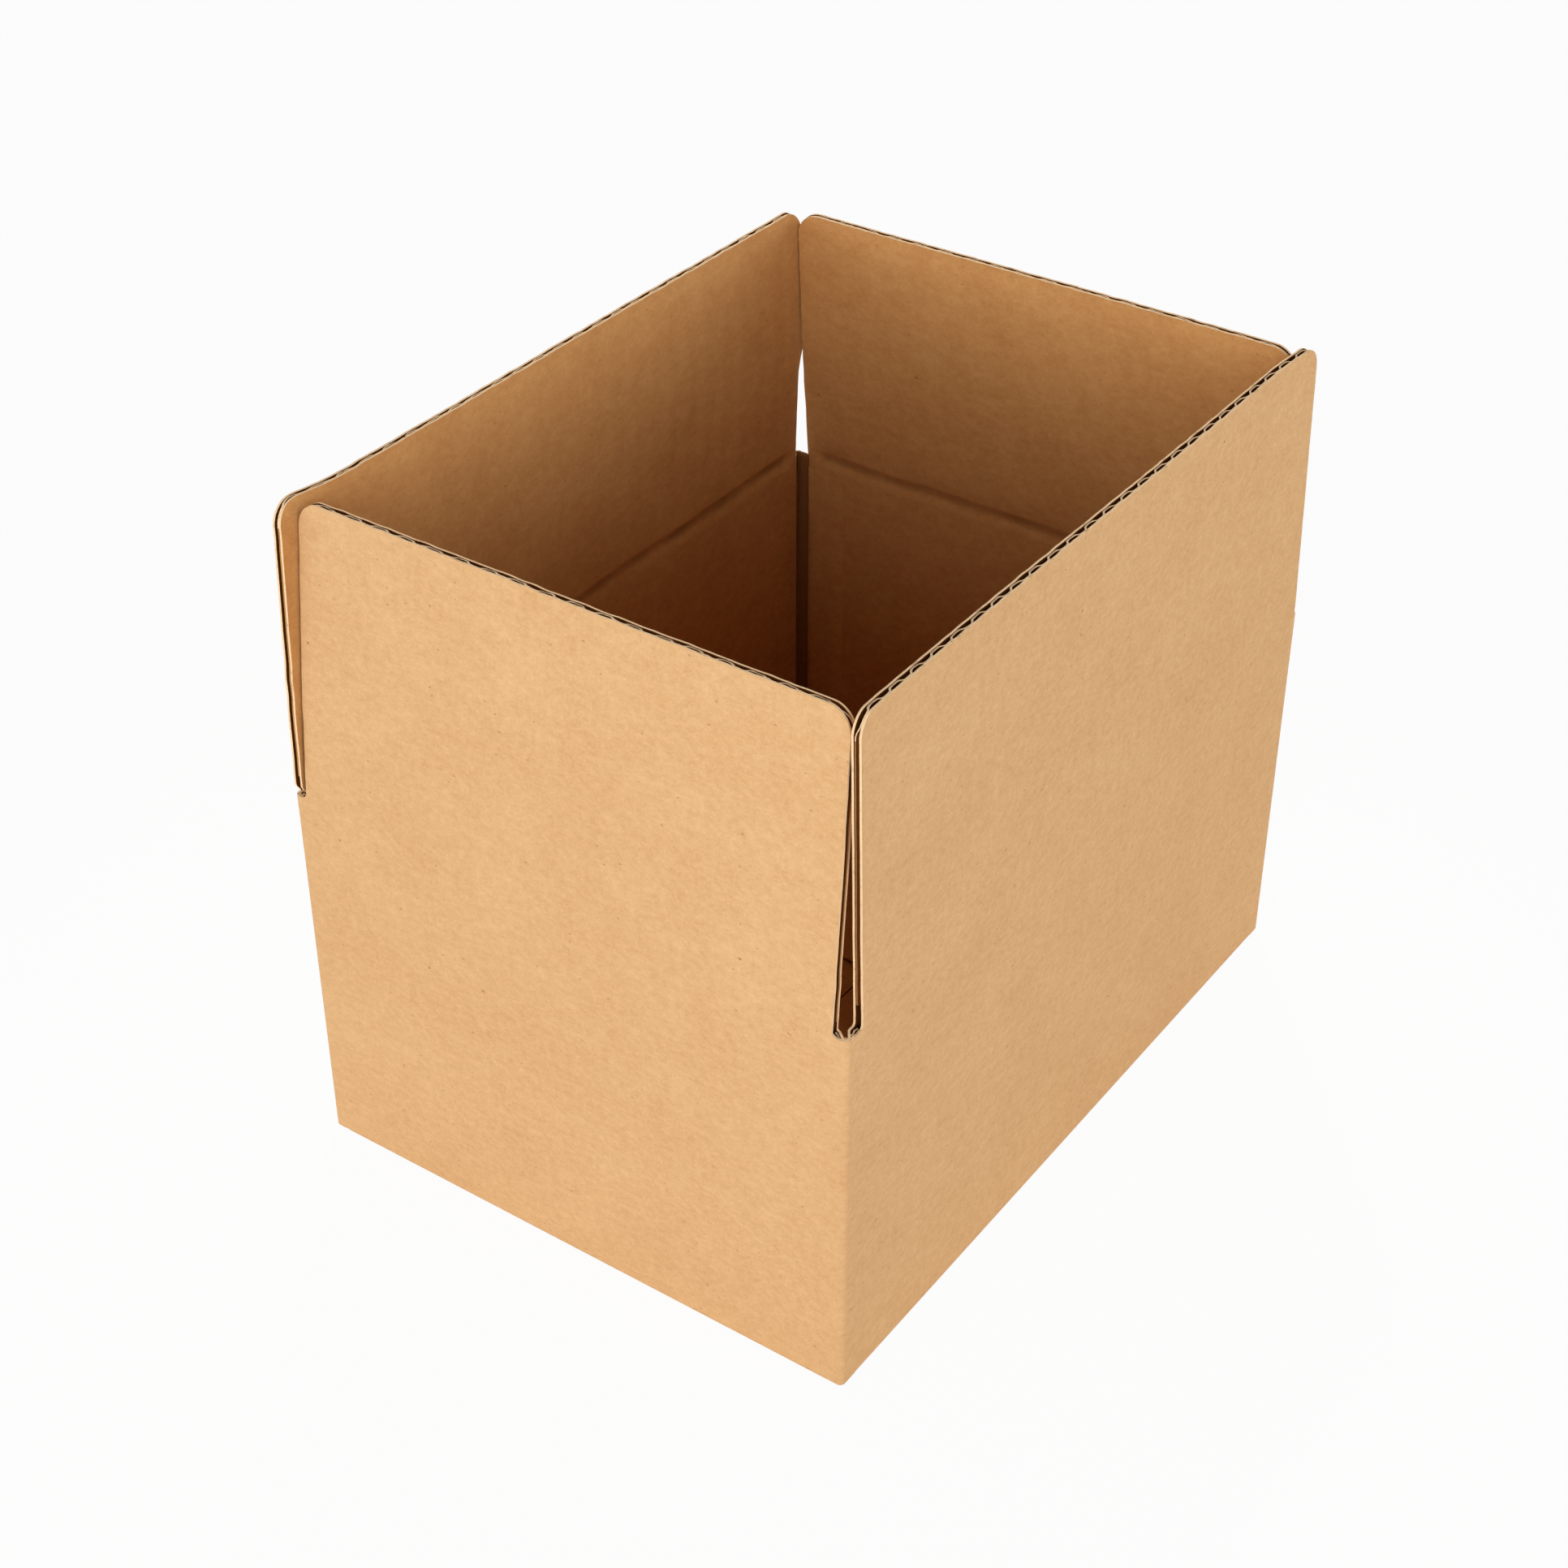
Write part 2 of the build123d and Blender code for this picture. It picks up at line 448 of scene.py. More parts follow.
class Station(NamedTuple):
    """One column of the sheet round the walls: a place along a wall, or part of the turn after it."""

    index: int
    along: float
    turn: float | None
    blank: float


def smooth_step(value, low, high):
    share = min(max((value - low) / (high - low), 0.0), 1.0)
    return share * share * (3 - 2 * share)


def mix(first, second, share):
    return first + (second - first) * share


def inset_at(insets, share):
    """Inset of a flap's end at a share of the way from the crease to the free edge."""
    for index in range(len(insets) - 1):
        low, high = INSET_SHARES[index], INSET_SHARES[index + 1]
        if share <= high:
            return mix(insets[index], insets[index + 1], (share - low) / (high - low))
    return insets[-1]


def spread(low, high, step):
    """Even places from low to high, about a step apart."""
    count = max(1, round((high - low) / step))
    return [mix(low, high, index / count) for index in range(count + 1)]


def wobble(kind, across, upward=0.0, seed=0.0):
    """Smooth unevenness of the paper, from -1 to 1."""
    wave, apart = kind
    return noise.noise(Vector((across / wave, upward / wave, seed + apart)))


def carton_walls(settings):
    """The runs of the sheet in order: glue tab, back, left end, front and right end."""
    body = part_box("box_body")[1]
    length, width = body.x, body.y
    glued = length - settings.board.board + GLUE_SINK
    tab_start = width - settings.folds.tab_width
    tab_slots = (0.0, settings.folds.tab_groove)
    back, left_end, front, right_end = [Flap(name, settings) for name in FLAP_NAMES]
    return [
        Wall((-1, 0, 0), glued, tab_start, width, (False, True), settings.folds.tab_squeeze, slots=tab_slots),
        Wall((0, -1, 0), width, -glued, length, (True, True), flap=back),
        Wall((1, 0, 0), length, -width, width, (True, True), flap=left_end),
        Wall((0, 1, 0), width, -length, length, (True, True), flap=front),
        Wall((-1, 0, 0), length, -width, width, (True, False), flap=right_end),
    ]


def floor_inset(wall, folds):
    """Inset of a floor flap's ends: the flaps of the long walls are cut a little shorter."""
    return folds.side_slot if wall.is_side else folds.end_slot


def wall_columns(wall, settings):
    """Places along one wall: close together beside the corners, wider apart between the slots."""
    folds = settings.folds
    step = settings.board.flute_pitch / 2
    low = wall.start + folds.wall_fold_radius * wall.folded_start
    high = wall.end - folds.wall_fold_radius * wall.folded_end
    if wall.flap is None:
        groove = wall.end - folds.tab_groove
        return spread(low, groove, step / TAB_STEP_PARTS) + spread(groove, high, CORNER_STEP)[1:]
    first = wall.start + wall.slots[0]
    second = wall.end - wall.slots[1]
    inset = floor_inset(wall, folds)
    places = spread(low, first, CORNER_STEP) + spread(first, second, step) + spread(second, high, CORNER_STEP)
    for cut in (inset, inset - SLIT_WIDTH):
        places += [wall.start + cut, wall.end - cut]
    return sorted({round(place, 6) for place in places})


def sheet_stations(walls, settings):
    """All columns of the sheet, from the glue tab round to the raw edge at the end of the last wall."""
    radius = settings.folds.wall_fold_radius
    stations = []
    travelled = 0.0
    for index, wall in enumerate(walls):
        for along in wall_columns(wall, settings):
            stations.append(Station(index, along, None, travelled + along - wall.start))
        travelled += wall.end - wall.start
        if wall.folded_end:
            for part in range(1, TURN_PARTS):
                share = part / TURN_PARTS
                turn_blank = travelled + (share - 0.5) * radius
                stations.append(Station(index, wall.end, share * pi / 2, turn_blank))
    return stations


def closeness_to_fold(wall, along, folds):
    """1 beside an upright fold, falling to 0 at the edge of the strip that it crushes."""
    strip = folds.wall_fold_radius + GROOVE_FLANK
    from_start = along - wall.start if wall.folded_start else inf
    from_end = wall.end - along if wall.folded_end else inf
    last_strip = strip if wall.flap else folds.tab_groove
    return smooth_step(max(strip - from_start, last_strip - from_end), 0.0, GROOVE_FLANK)


def ring_point(wall, station, depth, height, folds):
    """A point of the sheet's upright part at a depth through the board."""
    outer_radius = folds.wall_fold_radius
    radius = max(outer_radius - INNER_FOLD_SHARE * depth, MIN_FOLD_RADIUS)
    if station.turn is None:
        moved = radius + depth - outer_radius
        along = station.along
        if wall.folded_start:
            along += moved * (1 - smooth_step(along - wall.start, outer_radius, wall.slots[0]))
        if wall.folded_end:
            along -= moved * (1 - smooth_step(wall.end - along, outer_radius, wall.slots[1]))
        return wall.point(along, depth * wall.squeeze, height)
    axis = wall.point(wall.end - radius - depth, radius + depth * wall.squeeze, height)
    return axis + radius * (wall.along * sin(station.turn) - wall.inward * cos(station.turn))


# Sheets of paper


def new_board_mesh():
    """An empty mesh whose points remember their place on the flat sheet."""
    mesh = bmesh.new()
    mesh.verts.layers.float_vector.new("blank")
    return mesh


def lay_sheet(mesh, columns, rows, place, thickness, sides, keep=None, inward_face=False, wear_and_shade=None):
    """Adds one sheet of paper: a grid that place() lays out, trimmed by keep() and given its thickness.

    sides are the materials of the laid face and of its back. The rims of the sheet are cut paper, but where
    the last argument says so of a blank coordinate they take the brown inside paper instead: painted
    shade on rims that lie in shade.
    """
    blank = mesh.verts.layers.float_vector["blank"]
    last_column, last_row = len(columns) - 1, len(rows) - 1
    grid = bmesh.ops.create_grid(mesh, x_segments=last_column, y_segments=last_row, size=0.5)
    spot = {}
    for vert in grid["verts"]:
        spot[vert] = round((vert.co.x + 0.5) * last_column), round((vert.co.y + 0.5) * last_row)
    faces = [face for face in mesh.faces if face.verts[0] in spot]
    if keep is not None:
        dropped = set()
        for face in faces:
            column = min(spot[vert][0] for vert in face.verts)
            row = min(spot[vert][1] for vert in face.verts)
            if not keep(columns[column], columns[column + 1], rows[row], rows[row + 1]):
                dropped.add(face)
        kept = [face for face in faces if face not in dropped]
        bmesh.ops.delete(mesh, geom=[face for face in faces if face in dropped], context="FACES")
        faces = kept
    for vert, (column, row) in spot.items():
        if vert.is_valid:
            vert.co, vert[blank] = place(columns[column], rows[row])
    if inward_face:
        bmesh.ops.reverse_faces(mesh, faces=faces)
    mesh.normal_update()
    before = set(mesh.faces)
    laid = set(faces)
    made = bmesh.ops.solidify(mesh, geom=faces, thickness=thickness)
    backs = {item for item in made["geom"] if isinstance(item, bmesh.types.BMFace)}
    for face in mesh.faces:
        if face in laid:
            face.material_index = sides[0]
        elif face in backs:
            face.material_index = sides[1]
        elif face not in before:
            brown = wear_and_shade is not None and all(wear_and_shade(vert[blank]) for vert in face.verts)
            face.material_index = SHADED_INSIDE if brown else CUT


def finish_piece(name, mesh, materials):
    """Turns the mesh into an object at the origin, smooth except along its cut edges."""
    mesh.normal_update()
    for face in mesh.faces:
        face.smooth = True
    for edge in mesh.edges:
        edge.smooth = edge.calc_face_angle(pi) < SHARP_ANGLE
    data = bpy.data.meshes.new(name)
    mesh.to_mesh(data)
    mesh.free()
    for material in materials:
        data.materials.append(material)
    piece = bpy.data.objects.new(name, data)
    bpy.context.scene.collection.objects.link(piece)
    return piece


def flute_depth(blank_along, board, thickness):
    """Depth of the fluted sheet's outer face at a place along the sheet."""
    swing = max((thickness - 2 * board.liner - board.medium) / 2, 0.0)
    wave = sin(2 * pi * blank_along / board.flute_pitch)
    steep = board.flute_steepness**2
    return board.liner + swing * (1 + wave * sqrt((1 + steep) / (1 + steep * wave * wave)))


# Walls and floor


class WallSheet:
    """Lays the upright walls, their floor flaps and the glue tab at one depth through the board."""

    def __init__(self, walls, settings, depth):
        self.walls = walls
        self.board, self.folds = settings.board, settings.folds
        self.depth = depth
        self.fold = max(settings.folds.floor_fold_radius - FLOOR_FOLD_SHARE * depth, MIN_FOLD_RADIUS)
        self.lowest_tops = [
            wall.flap.hinge.z - settings.folds.crease_reach if wall.flap else 0.0 for wall in walls
        ]
        self.tab_low = 2 * settings.board.board + TAB_CLEARANCE
        self.tab_row = min(top for top in self.lowest_tops if top > 0)
        self.tab_high = self.tab_row + TAB_RISE

    def rows(self):
        """From the free edge of the floor flaps up to the slots."""
        tops = sorted({round(top, 6) for top in self.lowest_tops if top > 0})
        floor = [("floor", 1 - share) for share in spread(0, 1, FLOOR_ROW_SHARE)]
        fold = [("fold", (1 - part / FLOOR_TURN_PARTS) * pi / 2) for part in range(FLOOR_TURN_PARTS + 1)]
        wall = [("wall", height) for height in spread(WALL_FOOT, tops[0], WALL_ROW_STEP)]
        upper = [("wall", height) for height in tops[1:]]
        slot = [("slot", share) for share in SLOT_ROW_SHARES]
        return floor + fold + wall + upper + slot

    def in_span(self, station, first, second):
        """Whether a column of a wall with flaps lies between insets from the wall's two ends."""
        wall = self.walls[station.index]
        if station.turn is not None or wall.flap is None:
            return False
        return wall.start + first - TOLERANCE <= station.along <= wall.end - second + TOLERANCE

    def in_floor_span(self, station):
        inset = floor_inset(self.walls[station.index], self.folds)
        return self.in_span(station, inset, inset)

    def in_flap_span(self, station):
        return self.in_span(station, *self.walls[station.index].slots)

    def keep(self, left, right, lower, upper):
        """Cuts away the slots between the flaps, and leaves only the upright part of the glue tab."""
        tab = self.walls[left.index].flap is None
        if lower[0] in ("floor", "fold") and upper[0] in ("floor", "fold"):
            return self.in_floor_span(left) and self.in_floor_span(right)
        if tab and lower[0] == "fold":
            return False
        if tab:
            in_fold = min(self.crushed(left), self.crushed(right)) > 0.5
            in_tab = self.depth > 0 and upper[0] == "wall" and upper[1] <= self.tab_row + TOLERANCE
            return in_fold or in_tab
        if self.in_flap_span(left) and self.in_flap_span(right):
            return upper[0] == "wall" and upper[1] <= self.lowest_tops[left.index] + TOLERANCE
        return True

    def slot_height(self, station):
        """Height of a slot's lower end: nearly level, rounded up beside the flaps, lower at the joint."""
        wall = self.walls[station.index]
        folds = self.folds
        height = folds.slot_floor
        if wall is self.walls[-1] and station.along > 0:
            height -= JOINT_SLOT_DROP
        if station.turn is None and wall.flap is not None:
            from_first = wall.start + wall.slots[0] - station.along
            from_second = station.along - (wall.end - wall.slots[1])
            from_flap = max(from_first, from_second, 0.0)
            short = max(folds.slot_radius - from_flap, 0.0)
            height += folds.slot_radius - sqrt(folds.slot_radius**2 - short**2)
        return height + self.board.ragged * self.cut(SLOT_CUT, station)

    def cut(self, kind, station):
        """Unevenness of a cut edge, different in each layer."""
        return wobble(kind, station.blank, self.depth * LAYER_SHIFT)

    def crushed(self, station):
        """How much of the crush of an upright fold a column gets, from 0 to 1."""
        if station.turn is not None:
            return 1.0
        return closeness_to_fold(self.walls[station.index], station.along, self.folds)

    def tab_share(self, station):
        """1 on the glue tab, falling to 0 through the turn onto the back wall."""
        if self.walls[station.index].flap is not None:
            return 0.0
        return 1.0 if station.turn is None else 1 - station.turn / (pi / 2)

    def place(self, station, row):
        """Point and blank coordinate of a column at a row."""
        wall = self.walls[station.index]
        kind, value = row
        if kind in ("floor", "fold") and self.in_floor_span(station):
            return self.floor_place(wall, station, kind, value)
        if kind in ("floor", "fold"):
            height = CORNER_LIFT
        elif kind == "slot":
            height = mix(max(self.lowest_tops), self.slot_height(station), value)
        else:
            height = value
        share = self.tab_share(station)
        if share and kind == "wall" and value <= self.tab_row + TOLERANCE:
            taper = TAB_TAPER * (wall.end - station.along) / (wall.end - wall.start)
            inside = (height - WALL_FOOT) / (self.tab_row - WALL_FOOT)
            height = mix(height, mix(self.tab_low + taper, self.tab_high - taper, inside), share)
        crushed = self.crushed(station)
        depth = self.depth * (1 - self.folds.groove_crush * crushed)
        blank = (station.blank, height, depth)
        if wall.flap is None and not crushed:
            depth *= mix(1, TAB_TOP_SHARE, smooth_step(height, self.tab_high - 2 * TAB_FADE, self.tab_high))
            depth *= mix(TAB_TOP_SHARE, 1, smooth_step(height, self.tab_low, self.tab_low + 2 * TAB_FADE))
            depth *= mix(TAB_EDGE_SHARE, 1, smooth_step(station.along - wall.start, 0.0, TAB_FADE))
        return ring_point(wall, station, depth, height, self.folds), blank

    def floor_place(self, wall, station, kind, value):
        """The fold along the floor, and the floor flap beyond it."""
        board = self.board
        centre = self.fold + self.depth
        if kind == "fold":
            inward = centre - self.fold * cos(value)
            height = centre - self.fold * sin(value)
            blank = -self.fold * value
        else:
            inward = mix(FLOOR_START, self.floor_reach(wall), value)
            height = self.depth * floor_edge_share(value)
            blank = -inward
        if not wall.is_side:
            height += board.board * smooth_step(inward, *CLIMB)
        if kind == "floor":
            edge = smooth_step(value, *FLOOR_EDGE)
            inward += board.ragged * edge * self.cut(FLOOR_CUT, station)
        return wall.point(station.along, inward, height), (station.blank, blank, self.depth)

    def floor_reach(self, wall):
        """How far a floor flap reaches: the side flaps meet, and all flaps are cut on one line."""
        width = self.walls[1].reach
        reach = width - self.folds.floor_meeting_gap / 2
        return reach if wall.is_side else reach + self.board.board


def floor_edge_share(share):
    """Share of the board's thickness that is left at a share of the way to a floor flap's free edge."""
    return 1 - FLOOR_EDGE_CRUSH * smooth_step(share, *FLOOR_EDGE)


def is_floor(blank):
    """Whether a blank coordinate lies on a floor flap."""
    return blank.y < -FLOOR_START


def add_floor_flutes(mesh, sheet):
    """The fluted sheet along the free edges of the floor flaps."""
    board = sheet.board
    for index, wall in enumerate(sheet.walls):
        if wall.flap is None:
            continue
        inset = floor_inset(wall, sheet.folds)
        columns = spread(wall.start + inset, wall.end - inset, board.flute_pitch / FLUTE_PARTS)
        reach = sheet.floor_reach(wall)
        rows = [reach - FLUTE_SHOWN, reach - FLUTE_SHOWN / 3, reach - FLUTE_RECESS]
        climb = 0.0 if wall.is_side else board.board

        def place(along, inward):
            depth = flute_depth(along, board, board.board * floor_edge_share(inward / reach))
            return wall.point(along, inward, depth + climb), (along + index, -inward, depth)

        # Rims of these fluted strips take the brown inside paper: painted shade on the carton's floor
        lay_sheet(mesh, columns, rows, place, board.medium, FLUTED, inward_face=True, wear_and_shade=is_floor)


def add_joint_flutes(mesh, sheet):
    """The fluted sheet behind the raw upright edge of the last wall."""
    wall, board = sheet.walls[-1], sheet.board
    columns = spread(wall.end - FLUTE_SHOWN, wall.end - FLUTE_RECESS, board.flute_pitch / FLUTE_PARTS)
    rows = spread(CORNER_LIFT, sheet.lowest_tops[-1], WALL_ROW_STEP)

    def place(along, height):
        depth = flute_depth(along, board, board.board)
        return wall.point(along, depth, height), (along, height, depth)

    lay_sheet(mesh, columns, rows, place, board.medium, FLUTED)


def add_slot_flutes(mesh, sheet, stations):
    """The crushed fluted sheet that shows in the lower ends of the slots."""
    board = sheet.board

    def place(station, share):
        crumple = wobble(SLOT_CRUMPLE, station.blank, share * SLOT_FLUTE_CRUMPLES)
        depth = board.board * (SLOT_FLUTE_DEPTH + SLOT_FLUTE_SPREAD * crumple)
        rise = board.ragged * (SLOT_FLUTE_WAVES * wobble(SLOT_FLUTE_TOP, station.blank) - SLOT_FLUTE_DROP)
        height = mix(SLOT_FLUTE_FOOT, sheet.slot_height(station) + rise, share)
        wall = sheet.walls[station.index]
        return ring_point(wall, station, depth, height, sheet.folds), (station.blank, height, depth)

    upright = [station for station in stations if sheet.walls[station.index].flap is not None]
    for in_flap, group in groupby(upright, sheet.in_flap_span):
        corner = list(group)
        if not in_flap and len(corner) > 3:
            lay_sheet(mesh, corner, SLOT_FLUTE_ROWS, place, board.medium, FLUTED)


# Top flaps


class FlapSheet:
    """Lays one top flap, from just below its crease to its free edge."""

    def __init__(self, wall, settings, blank_start, seed):
        self.wall = wall
        self.flap = wall.flap
        self.board, self.folds = settings.board, settings.folds
        self.blank_start = blank_start
        self.seed = seed
        self.base_width = (wall.end - wall.start) - sum(wall.slots)

    def columns(self, parts):
        """Shares across the flap, closer together round its free corners."""
        radius = self.folds.flap_corner_radius
        corner = [radius * (1 - cos(part / CORNER_PARTS * pi / 2)) for part in range(CORNER_PARTS)]
        middle = spread(radius, self.base_width - radius, self.board.flute_pitch / parts)
        far = [self.base_width - place for place in reversed(corner)]
        return [place / self.base_width for place in corner + middle + far]

    def rows(self, first):
        """Distances from the hinge up the board: close together through the crease and at the free edge."""
        reach = self.flap.reach
        crease = spread(-self.folds.crease_reach, CREASE_ROWS_END, CREASE_ROW_STEP)
        middle = spread(CREASE_ROWS_END, reach - EDGE_ROWS_START, FLAP_ROW_STEP)[1:]
        edge = [reach - EDGE_ROWS_START * share for share in EDGE_ROW_SHARES]
        return [row for row in crease + middle + edge if row >= first - TOLERANCE]

    def wobble(self, kind, across, upward=0.0):
        return wobble(kind, across, upward, self.seed)

    def bend(self, distance):
        """Inward shift, height and angle of the outer face at a distance up the board from the hinge."""
        low, high = -self.folds.crease_reach, BEND_END
        lean = self.flap.lean
        shift = rise = 0.0
        stop = min(distance, high)
        for step in range(BEND_STEPS):
            middle = low + (stop - low) * (step + 0.5) / BEND_STEPS
            angle = lean * smooth_step(middle, low, high)
            shift += sin(angle) * (stop - low) / BEND_STEPS
            rise += cos(angle) * (stop - low) / BEND_STEPS
        angle = lean * smooth_step(distance, low, high)
        beyond = max(distance - high, 0.0)
        return shift + sin(lean) * beyond, low + rise + cos(lean) * beyond, angle

    def thickness(self, blank, distance):
        """Board thickness: crushed, a little unevenly, through the crease and beside the upright folds."""
        folds = self.folds
        wall, flap = self.wall, self.flap
        rise = folds.side_crease_rise if wall.is_side else folds.end_crease_rise
        above = distance - rise - CREASE_WANDER * self.wobble(CREASE_HEIGHT, blank)
        half = CREASE_ABOVE
        if above <= 0:
            half = CREASE_BELOW * (1 + CREASE_BELOW_SPREAD * self.wobble(CREASE_FOOT, blank))
        away = above / (half * folds.crease_half)
        dent = max(1 - away * away, 0.0) ** 2
        crush = folds.crease_crush * (1 + CREASE_CRUSH_SPREAD * self.wobble(CREASE_CRUSH, blank))
        along = blank - self.blank_start
        from_end = min(along - wall.start - wall.slots[0], wall.end - wall.slots[1] - along)
        crush *= dent * smooth_step(from_end, 0.0, CREASE_FADE)
        crush += flap.edge_crush * smooth_step(distance, flap.reach - EDGE_ROWS_START, flap.reach)
        below = 1 - smooth_step(distance, -folds.crease_reach, 0.0)
        fold_crush = folds.groove_crush * below * closeness_to_fold(wall, along, self.folds)
        return self.board.board * (1 - crush) * (1 - fold_crush)

    def lay(self, share, distance, depth_of):
        """Point and blank coordinate of a place on the flap; depth_of gives its depth through the board."""
        wall, flap, board = self.wall, self.flap, self.board
        reach = flap.reach
        from_end = min(share, 1 - share) * self.base_width
        radius = self.folds.flap_corner_radius
        limit = reach
        if from_end < radius:
            limit = reach - radius + sqrt(max(radius**2 - (radius - from_end) ** 2, 0.0))
        pull_start = reach - CORNER_PULL * radius
        if distance > pull_start:
            distance = mix(pull_start, limit, (distance - pull_start) / (reach - pull_start))
        up_share = max(distance, 0.0) / reach
        flare = smooth_step(distance, 0.0, FLARE_END)
        first = wall.start + mix(wall.slots[0], inset_at(flap.first, up_share), flare)
        second = wall.end - mix(wall.slots[1], inset_at(flap.second, up_share), flare)
        along = mix(first, second, share)
        blank = self.blank_start + mix(wall.start + wall.slots[0], wall.end - wall.slots[1], share)
        side = 1 - smooth_step(from_end, 0.0, END_RAGGED_WIDTH)
        raised = smooth_step(distance, 0.0, END_RAGGED_START)
        along += board.ragged * side * raised * self.wobble(FLAP_END_CUT, distance, round(share))
        edge = smooth_step(distance, limit - EDGE_RAGGED_WIDTH, limit)
        ragged = board.ragged * edge * self.wobble(FREE_EDGE_CUT, blank)
        shift, height, angle = self.bend(distance + ragged)
        shift += up_share * BOW_REACH * self.wobble(FLAP_BOW, blank, distance * BOW_STRETCH)
        shift -= up_share * flap.curl * (1 - smooth_step((1 - share) * self.base_width, 0.0, CURL_REACH))
        depth = depth_of(blank, distance)
        inward = shift + depth * cos(angle)
        height = flap.hinge.z + height - depth * sin(angle)
        return wall.point(along, inward, height), (blank, flap.hinge.z + distance, depth)

    def below_corners(self, blank):
        """Whether a blank coordinate lies below the flap's rounded corners."""
        return blank.y < self.flap.hinge.z + self.flap.reach - self.folds.flap_corner_radius

    def washboard(self, blank, distance):
        """How far the liner sinks between two flutes."""
        board = self.board
        fade = smooth_step(distance, *WASHBOARD_FADE)
        return board.washboard * fade * (1 - cos(2 * pi * blank / board.flute_pitch)) / 2

    def inner_depth(self, blank, distance):
        half_pitch = self.board.flute_pitch / 2
        return self.thickness(blank, distance) - self.washboard(blank + half_pitch, distance)

    def medium_depth(self, blank, distance):
        drift = self.wobble(FLUTE_DRIFT, blank, distance * FLUTE_DRIFT_STRETCH)
        place = blank + self.flap.flutes + FLUTE_DRIFT_REACH * drift
        return flute_depth(place, self.board, self.thickness(blank, distance))

    def medium_place(self, share, distance):
        uneven = self.wobble(FLUTE_END, share * self.base_width)
        recess = FLUTE_RECESS * (FLUTE_RECESS_MEAN + FLUTE_RECESS_SPREAD * uneven)
        distance -= recess * smooth_step(distance, *FLUTE_RECESS_FADE)
        return self.lay(share, distance, self.medium_depth)


def add_top_flap(walls, index, settings, materials):
    """One top flap of three sheets, which bends from the wall below it to the flap at the crease."""
    wall = walls[index]
    flap = wall.flap
    blank_start = sum(other.end - other.start for other in walls[:index]) - wall.start
    sheet = FlapSheet(wall, settings, blank_start, index * FLAP_SEED_STEP)
    board = settings.board
    mesh = new_board_mesh()
    coarse, fine = sheet.columns(FLUTE_PARTS), sheet.columns(2 * FLUTE_PARTS)
    rows = sheet.rows(-settings.folds.crease_reach)
    outer = partial(sheet.lay, depth_of=sheet.washboard)
    inner = partial(sheet.lay, depth_of=sheet.inner_depth)
    lay_sheet(mesh, coarse, rows, outer, board.liner, (OUTSIDE, SHADED_MEDIUM))
    lay_sheet(mesh, coarse, rows, inner, board.liner, (SHADED_INSIDE, SHADED_MEDIUM), inward_face=True)
    flutes = sheet.rows(MEDIUM_START)
    # Rims of the fluted sheet below the rounded corners take the brown inside paper: painted shade in the
    # flute channels
    lay_sheet(mesh, fine, flutes, sheet.medium_place, board.medium, FLUTED, wear_and_shade=sheet.below_corners)
    piece = finish_piece(flap.node + "_board", mesh, materials)
    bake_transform(piece)
    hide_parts(flap.node)


# Finishes


class Wire:
    """An output socket of a material's nodes. Arithmetic on it adds Math nodes."""

    def __init__(self, tree, socket=None):
        self.tree = tree
        self.socket = socket

    def node(self, kind, settings=None, inputs=None, output=0):
        """Adds a node: its settings are set first, then its sockets get values or links."""
        made = self.tree.nodes.new(kind)
        for name, value in (settings or {}).items():
            setattr(made, name, value)
        for name, value in (inputs or {}).items():
            if isinstance(value, Wire):
                self.tree.links.new(value.socket, made.inputs[name])
            else:
                made.inputs[name].default_value = value
        return Wire(self.tree, made.outputs[output] if made.outputs else None)

    def maths(self, operation, first, second=0.0):
        return self.node("ShaderNodeMath", {"operation": operation}, {0: first, 1: second})

    def __add__(self, other):
        return self.maths("ADD", self, other)

    def __sub__(self, other):
        return self.maths("SUBTRACT", self, other)

    def __rsub__(self, other):
        return self.maths("SUBTRACT", other, self)

    def __mul__(self, other):
        return self.maths("MULTIPLY", self, other)

    __radd__ = __add__
    __rmul__ = __mul__


def bare_nodes(owner):
    """Empties the nodes of a material or world, and gives a wire to add new ones with."""
    owner.use_nodes = True
    owner.node_tree.nodes.clear()
    return Wire(owner.node_tree)


def blank_sheet(wire):
    """The blank coordinate."""
    return wire.node("ShaderNodeAttribute", {"attribute_name": "blank"}, output="Vector")


def coordinate(wire, vector, axis):
    return wire.node("ShaderNodeSeparateXYZ", None, {"Vector": vector}, output=axis)


def stretched(wire, place, scale):
    return wire.node("ShaderNodeVectorMath", {"operation": "MULTIPLY"}, {0: place, 1: scale})


def paper_noise(wire, sheet, stretch, scale, detail, roughness):
    """Even noise on the flat sheet, from 0 to 1."""
    place = stretched(wire, sheet, stretch)
    inputs = {"Vector": place, "Scale": scale, "Detail": detail, "Roughness": roughness}
    return wire.node("ShaderNodeTexNoise", {"noise_dimensions": "3D"}, inputs)


def threshold(wire, value, low, high):
    """0 at low and 1 at high, smooth between."""
    inputs = {"Value": value, "From Min": low, "From Max": high}
    return wire.node("ShaderNodeMapRange", {"interpolation_type": "SMOOTHSTEP"}, inputs)


def specks(wire, sheet, stretch, scale, rim_and_core, empty, channel, weight):
    """A mask of small dots in a few of the cells of the sheet."""
    cells = {"Vector": stretched(wire, sheet, stretch), "Scale": scale, "Randomness": 1.0}
    near = wire.node("ShaderNodeTexVoronoi", {"feature": "F1"}, cells, output="Distance")
    pick = wire.node("ShaderNodeTexVoronoi", {"feature": "F1"}, cells, output="Color")
    chance = wire.node("ShaderNodeSeparateColor", None, {"Color": pick}, output=channel)
    return threshold(wire, near, *rim_and_core) * threshold(wire, chance, empty, empty + SPECK_FADE) * weight


